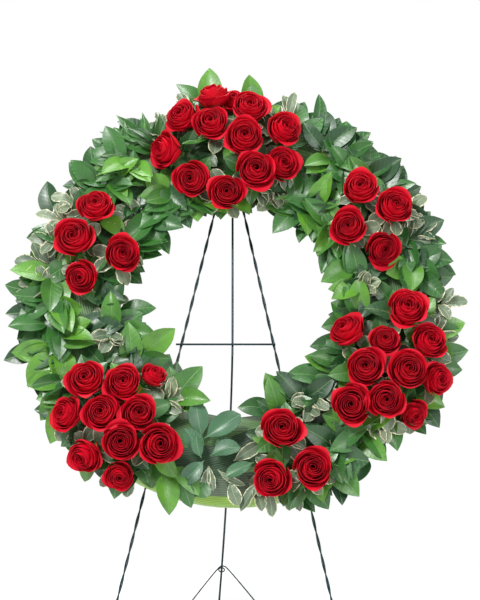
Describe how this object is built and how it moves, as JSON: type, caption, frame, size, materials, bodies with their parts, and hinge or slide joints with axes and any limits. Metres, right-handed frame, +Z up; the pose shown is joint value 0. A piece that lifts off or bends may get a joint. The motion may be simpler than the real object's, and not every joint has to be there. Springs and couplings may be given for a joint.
{
  "type": "funeral wreath",
  "caption": "Round standing wreath of red roses and mixed greens on a leaf-wrapped foam ring, held by a folding wire easel.",
  "frame": {"origin": "on the floor, under the middle of the whole object's box", "axes": "+Z up, -Y the way the wreath faces, +X to the right of a person looking at it"},
  "size_m": [0.6728, 0.4102, 0.8125],
  "materials": {
    "wire_enamel": "glossy dark green enamel on twisted and plain wire",
    "floral_foam": "matt open-cell floral foam",
    "aspidistra_leaf": "satin leaf with fine lengthwise veins",
    "rose_petal": "velvety red petal",
    "green_leaf": "glossy broad green leaf with a pale midrib",
    "variegated_leaf": "grey-green leaf with a cream margin",
    "twig": "green-brown stem"
  },
  "bodies": {
    "front_frame": {"foam_ring": "floral_foam", "aspidistra_wrap": "aspidistra_leaf", "rose_01": "rose_petal", "rose_02": "rose_petal", "rose_03": "rose_petal", "rose_04": "rose_petal", "rose_05": "rose_petal", "rose_06": "rose_petal", "rose_07": "rose_petal", "rose_08": "rose_petal", "rose_09": "rose_petal", "rose_10": "rose_petal", "rose_11": "rose_petal", "rose_12": "rose_petal", "rose_13": "rose_petal", "rose_14": "rose_petal", "rose_15": "rose_petal", "rose_16": "rose_petal", "rose_17": "rose_petal", "rose_18": "rose_petal", "rose_19": "rose_petal", "rose_20": "rose_petal", "rose_21": "rose_petal", "rose_22": "rose_petal", "rose_23": "rose_petal", "rose_24": "rose_petal", "rose_25": "rose_petal", "rose_26": "rose_petal", "rose_27": "rose_petal", "rose_28": "rose_petal", "rose_29": "rose_petal", "rose_30": "rose_petal", "rose_31": "rose_petal", "rose_32": "rose_petal", "rose_33": "rose_petal", "rose_34": "rose_petal", "rose_35": "rose_petal", "rose_36": "rose_petal", "rose_37": "rose_petal", "rose_38": "rose_petal", "rose_39": "rose_petal", "rose_40": "rose_petal", "rose_41": "rose_petal", "rose_42": "rose_petal", "rose_43": "rose_petal", "greens_outer_upper_right": "green_leaf", "greens_outer_upper_left": "green_leaf", "greens_outer_lower_left": "green_leaf", "greens_outer_lower_right": "green_leaf", "greens_inner_top": "green_leaf", "greens_inner_bottom": "green_leaf", "left_leg": "wire_enamel", "right_leg": "wire_enamel", "crossbar": "wire_enamel", "top_bar": "wire_enamel", "centre_rod": "wire_enamel", "wreath_hook": "wire_enamel", "hinge_bar": "wire_enamel"},
    "back_leg": {"back_leg": "wire_enamel", "back_foot": "wire_enamel"}
  },
  "joints": [
    {"name": "back_leg_fold", "type": "hinge", "parent": "front_frame", "child": "back_leg", "pos_m": [-0.01131, 0.02096, 0.67403], "axis": [-1, 0, 0], "range_deg": [0, 26]}
  ]
}
